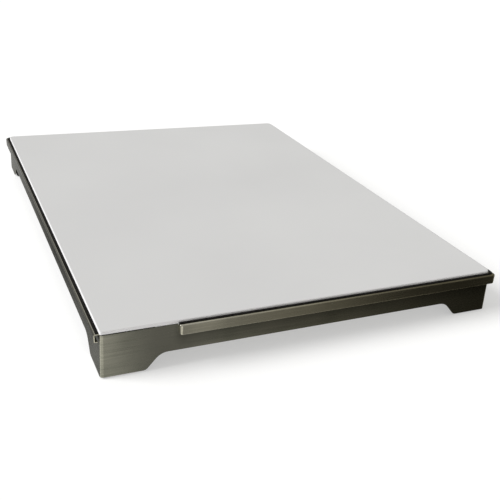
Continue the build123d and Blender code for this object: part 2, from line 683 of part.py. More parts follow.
def tray():
    """Folded pan with a hemmed flange, cut away at the front left corner."""
    with BuildPart() as pan:
        with BuildSketch(Plane.XY.offset(TRAY_BOTTOM)) as outline:
            RectangleRounded(WIDTH, LENGTH, TRAY_CORNER)
        extrude(outline.sketch, amount=TRAY_TOP - TRAY_BOTTOM)
        fillet(pan.faces().sort_by(Axis.Z)[-1].edges(), TRAY_BEND)
        offset(amount=-TRAY_SHEET, openings=pan.faces().sort_by(Axis.Z)[0])
        with BuildSketch(Plane.XY.offset(TRAY_BOTTOM)) as hem:
            RectangleRounded(WIDTH - TRAY_SHEET, LENGTH - TRAY_SHEET, TRAY_CORNER - TRAY_SHEET / 2)
            hem_reach = 2 * (TRAY_SHEET + HEM)
            Rectangle(WIDTH - hem_reach, LENGTH - hem_reach, mode=Mode.SUBTRACT)
        extrude(hem.sketch, amount=TRAY_SHEET)
        with BuildSketch(Plane.XZ.offset(-NOTCH_Y)) as notch:
            with BuildLine():
                Polyline(
                    (NOTCH_X + NOTCH_RADIUS, TRAY_BOTTOM),
                    (NOTCH_X + NOTCH_RADIUS, TRAY_BOTTOM - CLEAR),
                    (-WIDTH / 2 - CLEAR, TRAY_BOTTOM - CLEAR),
                    (-WIDTH / 2 - CLEAR, TRAY_TOP + CLEAR),
                    (NOTCH_X, TRAY_TOP + CLEAR),
                    (NOTCH_X, TRAY_BOTTOM + NOTCH_RADIUS),
                )
                TangentArc(
                    (NOTCH_X, TRAY_BOTTOM + NOTCH_RADIUS),
                    (NOTCH_X + NOTCH_RADIUS, TRAY_BOTTOM),
                    tangent=(0, -1),
                )
            make_face()
        extrude(notch.sketch, amount=LENGTH / 2 + NOTCH_Y + CLEAR, mode=Mode.SUBTRACT)
        # The front flange's end is folded back to the skirt
        return_back = SKIRT_Y + RETURN_GAP
        arc_top = TRAY_BOTTOM + NOTCH_RADIUS
        arc_end = NOTCH_X + NOTCH_RADIUS
        inner_x = NOTCH_X + TRAY_SHEET
        with BuildSketch(Plane.XZ.offset(return_back)) as fold:
            with BuildLine():
                Line((inner_x, arc_top), (inner_x, RETURN_TOP))
                Line((inner_x, RETURN_TOP), (NOTCH_X, RETURN_TOP))
                Line((NOTCH_X, RETURN_TOP), (NOTCH_X, arc_top))
                RadiusArc((NOTCH_X, arc_top), (arc_end, TRAY_BOTTOM), -NOTCH_RADIUS)
                Line((arc_end, TRAY_BOTTOM), (arc_end, TRAY_BOTTOM + TRAY_SHEET))
                RadiusArc(
                    (arc_end, TRAY_BOTTOM + TRAY_SHEET),
                    (inner_x, arc_top),
                    NOTCH_RADIUS - TRAY_SHEET,
                )
            make_face()
        extrude(fold.sketch, amount=RETURN_FRONT - return_back)
    save(pan, "tray")


def tray_stiffener(number, y):
    """Hat section welded under the tray, across the scale and clear of the deck."""
    sheet_bottom = TRAY_TOP - TRAY_SHEET
    with BuildPart() as hat:
        with BuildSketch(Plane.YZ.shift_origin((0, y, 0))) as section:
            with BuildLine():
                Polyline(
                    (-STIFFENER_WIDTH / 2, sheet_bottom),
                    (-STIFFENER_WIDTH / 2, sheet_bottom - TRAY_SHEET),
                    (-STIFFENER_CROWN / 2, sheet_bottom - TRAY_SHEET),
                    (-STIFFENER_CROWN / 2, STIFFENER_BOTTOM),
                    (STIFFENER_CROWN / 2, STIFFENER_BOTTOM),
                    (STIFFENER_CROWN / 2, sheet_bottom - TRAY_SHEET),
                    (STIFFENER_WIDTH / 2, sheet_bottom - TRAY_SHEET),
                    (STIFFENER_WIDTH / 2, sheet_bottom),
                    (STIFFENER_CROWN / 2 - TRAY_SHEET, sheet_bottom),
                    (STIFFENER_CROWN / 2 - TRAY_SHEET, STIFFENER_BOTTOM + TRAY_SHEET),
                    (TRAY_SHEET - STIFFENER_CROWN / 2, STIFFENER_BOTTOM + TRAY_SHEET),
                    (TRAY_SHEET - STIFFENER_CROWN / 2, sheet_bottom),
                    close=True,
                )
            make_face()
        extrude(section.sketch, amount=STIFFENER_LENGTH / 2, both=True)
    save(hat, f"tray_stiffener_{number}")


def edge_gasket():
    """Dark strip on the tray's ledge, round the mat, interrupted where the tray is cut away."""
    inner_x = SKIRT_X + GASKET_GAP
    inner_y = SKIRT_Y + GASKET_GAP
    with BuildPart() as gasket:
        with BuildSketch(Plane.XY.offset(TRAY_TOP)) as ring:
            RectangleRounded(2 * (inner_x + GASKET_WIDTH), 2 * (inner_y + GASKET_WIDTH), MAT_CORNER)
            RectangleRounded(2 * inner_x, 2 * inner_y, MAT_SHARP_CORNER, mode=Mode.SUBTRACT)
        extrude(ring.sketch, amount=GASKET_HEIGHT)
        with BuildSketch(Plane.XY.offset(TRAY_TOP)) as cut:
            with Locations((NOTCH_X - WIDTH / 2, NOTCH_Y - LENGTH / 2)):
                Rectangle(WIDTH, LENGTH)
        extrude(cut.sketch, amount=GASKET_HEIGHT, mode=Mode.SUBTRACT)
    save(gasket, "edge_gasket")


def mat():
    """Loose mat with softened corners, except the sharp one at the front left."""
    with BuildPart() as sheet:
        slab(0, 0, 2 * SKIRT_X, 2 * SKIRT_Y, TRAY_TOP, HEIGHT)
        corners = sheet.edges().filter_by(Axis.Z).sort_by(Axis((0, 0, 0), (1, 1, 0)))
        fillet(corners[0], MAT_SHARP_CORNER)
        corners = sheet.edges().filter_by(Axis.Z).sort_by(Axis((0, 0, 0), (1, 1, 0)))
        fillet(corners[2:], MAT_CORNER)
        fillet(sheet.faces().sort_by(Axis.Z)[-1].edges(), MAT_EDGE)
    save(sheet, "mat")


def main():
    os.makedirs("parts", exist_ok=True)
    for name, sy in ENDS.items():
        end_skirt(name, sy)
        end_rail(name, sy)
    for name, sx in SIDES.items():
        side_skirt(name, sx)
        side_rail(name, sx)
    for name, (sx, sy) in CORNERS.items():
        corner_plate(name, sx, sy)
        load_cell(name, sx, sy)
        cell_cable(name, sx, sy)
        foot(name, sx, sy)
    crossbar()
    cell_hardware()
    foot_lock_nuts()
    junction_box()
    box_glands()
    cable_clips()
    cord_gland()
    deck()
    tray()
    for number, step in enumerate((-2, -1, 1, 2), start=1):
        tray_stiffener(number, step * STIFFENER_SPACING)
    edge_gasket()
    mat()


main()
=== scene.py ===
import json
import math

import bmesh
import bpy
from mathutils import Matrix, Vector


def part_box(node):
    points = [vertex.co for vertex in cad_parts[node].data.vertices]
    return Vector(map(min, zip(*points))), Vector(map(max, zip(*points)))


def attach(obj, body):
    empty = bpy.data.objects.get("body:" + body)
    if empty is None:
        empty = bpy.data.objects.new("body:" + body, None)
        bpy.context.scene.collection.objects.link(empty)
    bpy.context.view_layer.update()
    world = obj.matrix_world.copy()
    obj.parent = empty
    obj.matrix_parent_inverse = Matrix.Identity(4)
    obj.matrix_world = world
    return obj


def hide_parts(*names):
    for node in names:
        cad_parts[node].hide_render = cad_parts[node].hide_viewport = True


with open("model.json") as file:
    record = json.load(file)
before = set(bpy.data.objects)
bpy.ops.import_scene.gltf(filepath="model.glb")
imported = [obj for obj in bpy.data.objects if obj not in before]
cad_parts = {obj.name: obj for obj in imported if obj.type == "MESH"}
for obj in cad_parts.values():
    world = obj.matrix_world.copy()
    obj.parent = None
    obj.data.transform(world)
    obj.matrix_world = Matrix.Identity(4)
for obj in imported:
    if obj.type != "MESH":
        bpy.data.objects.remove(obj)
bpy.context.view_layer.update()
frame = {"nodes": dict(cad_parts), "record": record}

# Metres. The scale stands on the floor at z = 0 with its long side along Y and its front at -Y.
MAT_LOW, MAT_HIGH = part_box("mat")
TRAY_LOW, TRAY_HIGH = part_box("tray")
MM = 0.001

# Camera, at the photograph's place and angle
CAMERA_PLACE = (-0.5617, -1.4663, 0.6710)
CAMERA_TURN = (67.5153, -4.2007, -24.9313)
CAMERA_LENS = 56.28
CAMERA_SHIFT = (-0.0672, -0.0559)

# Tray flange, as folded from one sheet. Support loops beside each bend keep the flat faces flat in shading
SHEET = 1.5 * MM
TOP_BEND = 3.0 * MM
PANEL_INSET = 2.2 * TOP_BEND
LEAST_BEND = 0.1 * MM
LEAST_CORNER = 0.2 * MM
HEM_BEND = 1.6 * MM
HEM_DEPTH = 5.5 * MM
TRAY_CORNER = 7.0 * MM
NOTCH_X = -0.234
NOTCH_Y = -0.488
NOTCH_RADIUS = 4.5 * MM
RETURN_Y = -0.4925
FLANGE_LEAN = 0.5 * MM
SUPPORT = 0.3 * MM
TOP_STEPS = 8
HEM_STEPS = 6
CORNER_STEPS = 6
RETURN_STEPS = 5

# Levelling stems, M10 x 1.5, and weld beads
AROUND = 36
STEM_RADIUS = 5.0 * MM
STEM_FLANGE = 2.0 * MM
THREAD_PITCH = 1.5 * MM
THREAD_DEPTH = 0.8 * MM
SOCKET_RADIUS = 3.4 * MM
SOCKET_DEPTH = 5.0 * MM
BURR = 0.4 * MM
# The thread's ridge, as shares of its depth and of half its pitch
RIDGE_SUNK = 1.2
RIDGE_ROOT = 0.95
RIDGE_CREST = 0.2

# Weld beads
BEAD = 1.7 * MM
BEAD_SIDES = 10
RINGS_TO_A_RIPPLE = 4
RIPPLE = 0.14
BEAD_END = 0.35
BEAD_SWELL = 0.375
BEAD_TOP_GAP = 1.5 * BEAD
BEAD_SET_IN = 0.6 * BEAD
STITCH = 28.0 * MM
STITCH_PITCH = 150.0 * MM

# Mat
MAT_BEVEL = 1.6 * MM
MAT_UNDERCUT = 0.4 * MM
MAT_CORNER = 10.0 * MM
MAT_SHARP_CORNER = 3.0 * MM
MAT_BEVEL_STEPS = 6
MAT_CORNER_STEPS = 8

# Where a noise factor's useful middle starts and ends
NOISE_LOW = 0.3
NOISE_HIGH = 0.7

# Brushed steel: scale along the lines, scale across them and detail
STREAKS = (5.0, 380.0, 4.0)
HAIRLINES = (30.0, 2600.0, 2.0)
BRUSH_ROUGHNESS = 0.65
# Patches, partly smudges and partly painted reflections of the surroundings: their scale along X, Y and Z,
# their share in the colour and their share in the roughness
SMUDGE_AND_REFLECTION_PATCHES = (15.0, 15.0, 20.0)
SMUDGE_AND_REFLECTION_SHARE = 0.55
SMUDGE_SHARE_OF_GLOSS = 0.4
# A face counts as flat from this upward lean of its normal
FLAT_FROM = 0.8
# From where to where a face counts as turned towards +X or -X, for the painted shade on the steel's sides
SIDE_FROM = 0.15
SIDE_FULL = 0.55
# How far below the tray's flange its shade reaches, and how softly it starts at the notch
UNDER_DEPTH = 28 * MM
UNDER_SOFT = 8 * MM
QUARTER_TURN = 0.25
# Keeps the brushing direction from vanishing on level faces
TANGENT_NUDGE = (0.0, 0.05, 0.0)


# ---------------------------------------------------------------- node materials

def put(tree, kind, inputs=None, **settings):
    """Add one shader node, with its settings, and its inputs as values or as sockets to link."""
    node = tree.nodes.new(kind)
    for name, value in settings.items():
        setattr(node, name, value)
    for name, value in (inputs or {}).items():
        if isinstance(value, bpy.types.NodeSocket):
            tree.links.new(value, node.inputs[name])
        else:
            node.inputs[name].default_value = value
    return node


def new_material(name, colour, metallic, roughness):
    """A Principled material; returns it with its tree and its shader node."""
    made = bpy.data.materials.new(name)
    made.use_nodes = True
    tree = made.node_tree
    shader = tree.nodes["Principled BSDF"]
    shader.inputs["Base Color"].default_value = (*colour, 1.0)
    shader.inputs["Metallic"].default_value = metallic
    shader.inputs["Roughness"].default_value = roughness
    return made, tree, shader


def noise(tree, stretch, scale=1.0, detail=2.0, roughness=0.5):
    """Noise in the object's own space, squeezed by one factor along each axis."""
    place = put(tree, "ShaderNodeTexCoord")
    mapping = put(tree, "ShaderNodeMapping", {"Vector": place.outputs["Object"], "Scale": stretch})
    texture = put(
        tree,
        "ShaderNodeTexNoise",
        {"Vector": mapping.outputs["Vector"], "Scale": scale, "Detail": detail, "Roughness": roughness},
    )
    return texture.outputs["Fac"]


def spread(tree, factor, low, high, start=NOISE_LOW, end=NOISE_HIGH):
    """Map a factor between start and end to the range from low to high."""
    node = put(
        tree,
        "ShaderNodeMapRange",
        {"Value": factor, "From Min": start, "From Max": end, "To Min": low, "To Max": high},
    )
    return node.outputs["Result"]


def tint(tree, factor, dark, light):
    """Mix two colours by a factor."""
    node = put(tree, "ShaderNodeMix", data_type="RGBA")
    tree.links.new(factor, node.inputs["Factor"])
    node.inputs[6].default_value = (*dark, 1.0)
    node.inputs[7].default_value = (*light, 1.0)
    return node.outputs[2]


def colour_mix(tree, factor, first, second):
    """Mix two linked colours by a linked factor."""
    node = put(tree, "ShaderNodeMix", data_type="RGBA")
    tree.links.new(factor, node.inputs["Factor"])
    tree.links.new(first, node.inputs[6])
    tree.links.new(second, node.inputs[7])
    return node.outputs[2]


def bump(tree, shader, height, strength, distance):
    """Drive the shader's normal with a bump."""
    node = put(
        tree,
        "ShaderNodeBump",
        {"Height": height, "Strength": strength, "Distance": distance},
    )
    tree.links.new(node.outputs["Normal"], shader.inputs["Normal"])


def maths(tree, operation, first, second=0.0):
    """The result of one Math node."""
    return put(tree, "ShaderNodeMath", {0: first, 1: second}, operation=operation).outputs[0]


def normal_parts(tree):
    """The surface normal, whole and as its X, Y and Z parts."""
    normal = put(tree, "ShaderNodeNewGeometry").outputs["Normal"]
    return normal, put(tree, "ShaderNodeSeparateXYZ", {"Vector": normal}).outputs


def brushing(tree, flat, along, across, detail):
    """Fine lines, level on upright faces and lengthwise on flat ones."""
    upright = noise(tree, (along, along, across), detail=detail, roughness=BRUSH_ROUGHNESS)
    level = noise(tree, (across, along, along), detail=detail, roughness=BRUSH_ROUGHNESS)
    return put(tree, "ShaderNodeMix", {0: flat, 2: upright, 3: level}).outputs[0]


def steel_shade(tree, parts, sides, under):
    """Painted shade on the steel, as the brightness left: sides on faces towards +X and -X, under close
    below the front flange.
    """
    sideways = maths(tree, "ABSOLUTE", parts["X"])
    shade = spread(tree, sideways, 1.0, sides, SIDE_FROM, SIDE_FULL)
    place = put(tree, "ShaderNodeTexCoord")
    here = put(tree, "ShaderNodeSeparateXYZ", {"Vector": place.outputs["Object"]}).outputs
    # painted shade close below the front flange, fading in beside the notch
    below = spread(tree, here["Z"], 0.0, 1.0 - under, TRAY_LOW.z - UNDER_DEPTH, TRAY_LOW.z)
    beside = spread(tree, here["X"], 0.0, 1.0, NOTCH_X - UNDER_SOFT, NOTCH_X + UNDER_SOFT)
    kept = maths(tree, "SUBTRACT", 1.0, maths(tree, "MULTIPLY", below, beside))
    return maths(tree, "MULTIPLY", shade, kept)


def brush_highlights(tree, shader, normal):
    """Stretch the highlights across the brushing lines."""
    shader.inputs["Anisotropic"].default_value = 1.0
    shader.inputs["Anisotropic Rotation"].default_value = QUARTER_TURN
    upward = (0.0, 0.0, 1.0)
    level = put(tree, "ShaderNodeVectorMath", {0: upward, 1: normal}, operation="CROSS_PRODUCT")
    way = put(tree, "ShaderNodeVectorMath", {0: level.outputs[0], 1: TANGENT_NUDGE}, operation="ADD")
    tree.links.new(way.outputs[0], shader.inputs["Tangent"])


def brushed_steel(name, dark, light, roughness, sides=1.0, under=1.0):
    """Stainless sheet with streaks, hairlines and smudge patches that are partly painted reflections;
    steel_shade explains sides and under, its painted shade.
    """
    made, tree, shader = new_material(name, light, 1.0, roughness)
    normal, parts = normal_parts(tree)
    flat = maths(tree, "GREATER_THAN", maths(tree, "ABSOLUTE", parts["Z"]), FLAT_FROM)
    streaks = spread(tree, brushing(tree, flat, *STREAKS), 0.0, 1.0)
    # Patches that are partly smudges and partly painted reflections of the surroundings
    smudges_and_painted_reflections = spread(tree, noise(tree, SMUDGE_AND_REFLECTION_PATCHES, detail=3.0, roughness=0.45), 0.0, 1.0, 0.32, 0.68)
    mixed = put(tree, "ShaderNodeMix", {0: SMUDGE_AND_REFLECTION_SHARE, 2: streaks, 3: smudges_and_painted_reflections}).outputs[0]
    tone = {0: tint(tree, mixed, dark, light), "Scale": steel_shade(tree, parts, sides, under)}
    colour = put(tree, "ShaderNodeVectorMath", tone, operation="SCALE")
    tree.links.new(colour.outputs[0], shader.inputs["Base Color"])
    rough = put(tree, "ShaderNodeMix", {0: SMUDGE_SHARE_OF_GLOSS, 2: streaks, 3: smudges_and_painted_reflections}).outputs[0]
    gloss = spread(tree, rough, roughness * 1.25, roughness * 0.8, 0.0, 1.0)
    tree.links.new(gloss, shader.inputs["Roughness"])
    brush_highlights(tree, shader, normal)
    bump(tree, shader, brushing(tree, flat, *HAIRLINES), 0.10, 0.03 * MM)
    return made


def coated_steel(name, colour):
    """Powder-coated steel with its orange-peel surface and dusty patches."""
    made, tree, shader = new_material(name, colour, 0.0, 0.5)
    dust = noise(tree, (6.0, 6.0, 6.0), detail=5.0)
    lighter = tuple(min(1.0, value * 1.35 + 0.01) for value in colour)
    tree.links.new(tint(tree, spread(tree, dust, 0.0, 1.0), colour, lighter), shader.inputs["Base Color"])
    tree.links.new(spread(tree, dust, 0.42, 0.58), shader.inputs["Roughness"])
    bump(tree, shader, noise(tree, (1.0, 1.0, 1.0), scale=900.0, detail=1.0), 0.25, 0.1 * MM)
    return made


def plated_metal(name, colour, roughness):
    """Bright plated or machined metal with fine cloudy variation."""
    made, tree, shader = new_material(name, colour, 1.0, roughness)
    cloud = noise(tree, (40.0, 40.0, 40.0), detail=4.0)
    darker = tuple(value * 0.78 for value in colour)
    tree.links.new(tint(tree, spread(tree, cloud, 0.0, 1.0), darker, colour), shader.inputs["Base Color"])
    tree.links.new(spread(tree, cloud, roughness * 0.8, roughness * 1.25), shader.inputs["Roughness"])
    return made


def moulded(name, colour, roughness, grain=1400.0, strength=0.3, specular=0.5):
    """Moulded rubber or plastic with a fine spark-eroded grain."""
    made, tree, shader = new_material(name, colour, 0.0, roughness)
    shader.inputs["Specular IOR Level"].default_value = specular
    cloud = noise(tree, (25.0, 25.0, 25.0), detail=4.0)
    lighter = tuple(min(1.0, value * 1.25 + 0.004) for value in colour)
    tree.links.new(tint(tree, spread(tree, cloud, 0.0, 1.0), colour, lighter), shader.inputs["Base Color"])
    tree.links.new(spread(tree, cloud, roughness - 0.06, roughness + 0.06), shader.inputs["Roughness"])
    bump(tree, shader, noise(tree, (1.0, 1.0, 1.0), scale=grain, detail=2.0), strength, 0.05 * MM)
    return made


def mat_rubber(name):
    """Pale smooth mat: faintly cloudy, with a fine matt grain; its sides and rounded edge are painted
    paler than its top, as painted light.
    """
    made, tree, shader = new_material(name, (0.60, 0.60, 0.605), 0.0, 0.62)
    shader.inputs["Specular IOR Level"].default_value = 0.25
    cloud = noise(tree, (3.0, 3.0, 3.0), detail=4.0)
    top = tint(tree, spread(tree, cloud, 0.0, 1.0), (0.590, 0.589, 0.592), (0.612, 0.612, 0.613))
    # cut: the paler colour given to the sides and rounded edge, painted light
    cut = tint(tree, spread(tree, cloud, 0.0, 1.0), (0.76, 0.75, 0.76), (0.80, 0.79, 0.80))
    level = maths(tree, "ABSOLUTE", normal_parts(tree)[1]["Z"])
    edge = spread(tree, level, 1.0, 0.0, 0.3, FLAT_FROM)
    tree.links.new(colour_mix(tree, edge, top, cut), shader.inputs["Base Color"])
    tree.links.new(spread(tree, cloud, 0.56, 0.68), shader.inputs["Roughness"])
    bump(tree, shader, noise(tree, (1.0, 1.0, 1.0), scale=700.0, detail=2.0), 0.12, 0.05 * MM)
    return made


MATERIALS = {
    # The skirt and the tray are one stainless steel: the skirt's darker colours are painted shade, and
    # under paints shade close below the flange
    "brushed_steel": brushed_steel(
        "skirt_brushed", (0.235, 0.240, 0.200), (0.430, 0.420, 0.360), 0.25, under=0.5
    ),
    # The tray's lighter colours are painted light, and sides paints shade on its faces towards +X and -X
    "tray_steel": brushed_steel(
        "tray_brushed", (0.50, 0.485, 0.41), (0.74, 0.715, 0.605), 0.24, sides=0.35
    ),
    "frame_steel": coated_steel("frame_coat", (0.045, 0.045, 0.047)),
    "deck_steel": coated_steel("deck_coat", (0.13, 0.13, 0.135)),
    "load_cell_aluminium": plated_metal("load_cell_metal", (0.74, 0.75, 0.76), 0.34),
    "zinc": plated_metal("zinc_plate", (0.66, 0.66, 0.63), 0.28),
    "foot_rubber": moulded("foot_rubber", (0.012, 0.012, 0.012), 0.62),
    "pad_rubber": moulded("pad_rubber", (0.018, 0.018, 0.018), 0.6),
    "gasket_rubber": moulded("gasket_rubber", (0.0035, 0.003, 0.002), 0.7, specular=0.08),
    "cable_jacket": moulded("cable_jacket", (0.030, 0.030, 0.034), 0.45, strength=0.15),
    "nylon_black": moulded("nylon", (0.020, 0.020, 0.020), 0.45),
    "box_plastic": moulded("box_plastic", (0.36, 0.37, 0.38), 0.5),
    "board": moulded("board_mask", (0.010, 0.090, 0.035), 0.25, strength=0.1),
    "terminal": moulded("terminal_plastic", (0.010, 0.100, 0.250), 0.35, strength=0.1),
    "mat": mat_rubber("mat_surface"),
}


def dress(obj, slot):
    """Give an object the material of one of the record's slots."""
    obj.data.materials.clear()
    obj.data.materials.append(MATERIALS[slot])


for entry in frame["record"]["subparts"]:
    dress(frame["nodes"][entry["node"]], entry["material_slot"])


# ---------------------------------------------------------------- mesh helpers

def finish_piece(name, mesh_builder, slot, body, *replaced):
    """Turn a bmesh into a smooth-shaded piece that rides on a body."""
    mesh = bpy.data.meshes.new(name)
    bmesh.ops.recalc_face_normals(mesh_builder, faces=mesh_builder.faces)
    mesh_builder.to_mesh(mesh)
    mesh_builder.free()
    mesh.shade_smooth()
    mesh.set_sharp_from_angle(angle=math.radians(35))
    piece = bpy.data.objects.new(name, mesh)
    bpy.context.scene.collection.objects.link(piece)
    dress(piece, slot)
    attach(piece, body)
    if replaced:
        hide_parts(*replaced)


def join_rings(builder, lower, upper):
    """Faces between two closed loops of points."""
    count = len(lower)
    for i in range(count):
        j = (i + 1) % count
        builder.faces.new((lower[i], lower[j], upper[j], upper[i]))


def arc(centre, radius, start, end, steps):
    """Points on an arc in a plane, from one angle to another, in degrees."""
    points = []
    for step in range(steps + 1):
        angle = math.radians(start + (end - start) * step / steps)
        points.append((centre[0] + radius * math.cos(angle), centre[1] + radius * math.sin(angle)))
    return points


# ---------------------------------------------------------------- mat

def rounded_outline(low, high, inset, radii, steps):
    """Plan outline of a rectangle, counterclockwise from the front left corner, inset all round."""
    left, right = low.x + inset, high.x - inset
    front, rear = low.y + inset, high.y - inset
    corners = [(left, front, 180), (right, front, 270), (right, rear, 0), (left, rear, 90)]
    outline = []
    for (x, y, start), radius in zip(corners, radii):
        radius = max(radius - inset, LEAST_CORNER)
        centre_x = x + radius if x == left else x - radius
        centre_y = y + radius if y == front else y - radius
        outline += arc((centre_x, centre_y), radius, start, start + 90, steps)
    return outline


def make_mat():
    """The mat: softly rounded upper edge, straight cut side and a small lower chamfer."""
    radii = (MAT_SHARP_CORNER, MAT_CORNER, MAT_CORNER, MAT_CORNER)
    top, bottom = MAT_HIGH.z, MAT_LOW.z
    levels = [(MAT_UNDERCUT, bottom), (0.0, bottom + MAT_UNDERCUT)]
    levels += [(0.0, bottom + MAT_UNDERCUT + SUPPORT), (0.0, top - MAT_BEVEL - SUPPORT)]
    levels += arc((MAT_BEVEL, top - MAT_BEVEL), MAT_BEVEL, 180, 90, MAT_BEVEL_STEPS)
    levels += [(MAT_BEVEL + SUPPORT, top)]
    builder = bmesh.new()
    rings = []
    for inset, z in levels:
        outline = rounded_outline(MAT_LOW, MAT_HIGH, inset, radii, MAT_CORNER_STEPS)
        rings.append([builder.verts.new((x, y, z)) for x, y in outline])
    for lower, upper in zip(rings, rings[1:]):
        join_rings(builder, lower, upper)
    builder.faces.new(rings[0])
    builder.faces.new(rings[-1])
    finish_piece("mat_sheet", builder, "mat", "mat", "mat")


# ---------------------------------------------------------------- tray

def flange_section():
    """The folded sheet's section, outside and inside, as (distance in from the face, height) points."""
    bottom, top = TRAY_LOW.z, TRAY_HIGH.z
    hem_centre = (FLANGE_LEAN + HEM_BEND, bottom + HEM_BEND)
    bend_centre = (TOP_BEND, top - TOP_BEND)
    outside = [(FLANGE_LEAN + HEM_DEPTH, bottom)]
    outside += arc(hem_centre, HEM_BEND, 270, 180, HEM_STEPS)
    outside += [(FLANGE_LEAN, bottom + HEM_BEND + SUPPORT), (0.0, top - TOP_BEND - SUPPORT)]
    outside += arc(bend_centre, TOP_BEND, 180, 90, TOP_STEPS)
    outside += [(TOP_BEND + SUPPORT, top), (PANEL_INSET, top)]
    inside = [(PANEL_INSET, top - SHEET)]
    inside += arc(bend_centre, TOP_BEND - SHEET, 90, 180, TOP_STEPS)
    inside += arc(hem_centre, HEM_BEND - SHEET, 180, 270, HEM_STEPS)
    inside += [(FLANGE_LEAN + HEM_DEPTH, bottom + SHEET)]
    return outside, inside


def tray_path(inset):
    """Plan points at one inset, from the front flange's folded-back end round to the left side's end.

    The outline's first corner, at the front left, is left out: the flange is cut away there.
    """
    turn = max(TOP_BEND - inset, LEAST_BEND)
    end_x = NOTCH_X + inset
    face_y = TRAY_LOW.y + inset
    path = [(end_x, RETURN_Y)]
    path += arc((end_x + turn, face_y + turn), turn, 180, 270, RETURN_STEPS)
    curve_end = max(NOTCH_X + NOTCH_RADIUS, end_x + 2 * turn)
    path += [(curve_end, face_y), (NOTCH_X + 3 * NOTCH_RADIUS, face_y)]
    outline = rounded_outline(TRAY_LOW, TRAY_HIGH, inset, [TRAY_CORNER] * 4, CORNER_STEPS)
    path += outline[CORNER_STEPS + 1:]
    path += [(TRAY_LOW.x + inset, NOTCH_Y)]
    return path


def lifted(x, y, z):
    """Round the lower corner of the front flange's folded end."""
    reach = NOTCH_X + NOTCH_RADIUS - x
    if y > NOTCH_Y or reach <= 0.0:
        return z
    lift = NOTCH_RADIUS - math.sqrt(max(NOTCH_RADIUS ** 2 - reach ** 2, 0.0))
    height = TRAY_HIGH.z - TRAY_LOW.z
    return TRAY_HIGH.z - (TRAY_HIGH.z - z) * (1.0 - lift / height)


def make_tray():
    """The folded tray: hemmed flange on four sides, open at the cut-away corner, and its flat panel."""
    outside, inside = flange_section()
    section = outside + inside
    builder = bmesh.new()
    columns = []
    for inset, z in section:
        columns.append([builder.verts.new((x, y, lifted(x, y, z))) for x, y in tray_path(inset)])
    panel_column = len(outside) - 1
    for k, here in enumerate(columns):
        there = columns[(k + 1) % len(columns)]
        if k == panel_column:
            continue
        for i in range(len(here) - 1):
            builder.faces.new((here[i], here[i + 1], there[i + 1], there[i]))
    # one flat cap at each open end of the fold: at the front's notch and at the left side's end
    for end in (0, -1):
        builder.faces.new([column[end] for column in columns])
    # the flat panel, above and below
    upper = columns[panel_column]
    lower = columns[panel_column + 1]
    notch_upper = builder.verts.new((NOTCH_X, NOTCH_Y, TRAY_HIGH.z))
    notch_lower = builder.verts.new((NOTCH_X, NOTCH_Y, TRAY_HIGH.z - SHEET))
    builder.faces.new(upper + [notch_upper])
    builder.faces.new(lower + [notch_lower])
    builder.faces.new((upper[-1], notch_upper, notch_lower, lower[-1]))
    builder.faces.new((notch_upper, upper[0], lower[0], notch_lower))
    finish_piece("tray_pan", builder, "tray_steel", "tray", "tray")


# ---------------------------------------------------------------- threads and welds

def ring(builder, centre_x, centre_y, radius, z):
    """One level circle of a turned shape."""
    points = []
    for step in range(AROUND):
        turn = 2 * math.pi * step / AROUND
        x, y = centre_x + radius * math.cos(turn), centre_y + radius * math.sin(turn)
        points.append(builder.verts.new((x, y, z)))
    return points


def add_core(builder, centre_x, centre_y, profile, socket_radius, socket_depth):
    """Turned core with a closed lower end and a hexagon socket in its upper end."""
    rings = [ring(builder, centre_x, centre_y, radius, z) for radius, z in profile]
    builder.faces.new(rings[0])
    for lower, upper in zip(rings, rings[1:]):
        join_rings(builder, lower, upper)
    top = profile[-1][1]
    flat = socket_radius * math.cos(math.pi / 6)
    sides = math.pi / 3
    rim, floor = [], []
    for step in range(AROUND):
        turn = 2 * math.pi * step / AROUND
        reach = flat / math.cos(turn % sides - sides / 2)
        x, y = centre_x + reach * math.cos(turn), centre_y + reach * math.sin(turn)
        rim.append(builder.verts.new((x, y, top)))
        floor.append(builder.verts.new((x, y, top - socket_depth)))
    join_rings(builder, rings[-1], rim)
    join_rings(builder, rim, floor)
    builder.faces.new(floor)


def add_ridge(builder, centre_x, centre_y, bottom, top, crest):
    """The thread's helical ridge, closed at both ends, sunk a little into the core."""
    sunk = crest - THREAD_DEPTH * RIDGE_SUNK
    half = THREAD_PITCH / 2
    foot, tip = half * RIDGE_ROOT, half * RIDGE_CREST
    section = [(sunk, -foot), (crest, -tip), (crest, tip), (sunk, foot)]
    steps = int((top - bottom - 2 * half) / THREAD_PITCH * AROUND)
    before = None
    for step in range(steps + 1):
        turn = 2 * math.pi * step / AROUND
        z = bottom + half + THREAD_PITCH * step / AROUND
        loop = []
        for radius, rise in section:
            x, y = centre_x + radius * math.cos(turn), centre_y + radius * math.sin(turn)
            loop.append(builder.verts.new((x, y, z + rise)))
        if before:
            join_rings(builder, before, loop)
        else:
            builder.faces.new(loop)
        before = loop
    builder.faces.new(before)


def make_stem(corner):
    """Levelling stem: plain pin, flange, threaded shank and hexagon socket."""
    node = "foot_stem_" + corner
    low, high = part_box(node)
    centre_x, centre_y = (low.x + high.x) / 2, (low.y + high.y) / 2
    flange = (high.x - low.x) / 2
    flange_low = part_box("foot_block_" + corner)[1].z
    flange_high = flange_low + STEM_FLANGE
    root = STEM_RADIUS - THREAD_DEPTH
    profile = [
        (STEM_RADIUS - BURR, low.z),
        (STEM_RADIUS, low.z + BURR),
        (STEM_RADIUS, flange_low),
        (flange - BURR, flange_low),
        (flange, flange_low + BURR),
        (flange, flange_high - BURR),
        (flange - BURR, flange_high),
        (root, flange_high),
        (root, high.z - BURR),
        (root - BURR, high.z),
    ]
    builder = bmesh.new()
    add_core(builder, centre_x, centre_y, profile, SOCKET_RADIUS, SOCKET_DEPTH)
    add_ridge(builder, centre_x, centre_y, flange_high + BURR, high.z - BURR, STEM_RADIUS)
    finish_piece("threaded_stem_" + corner, builder, "zinc", node, node)


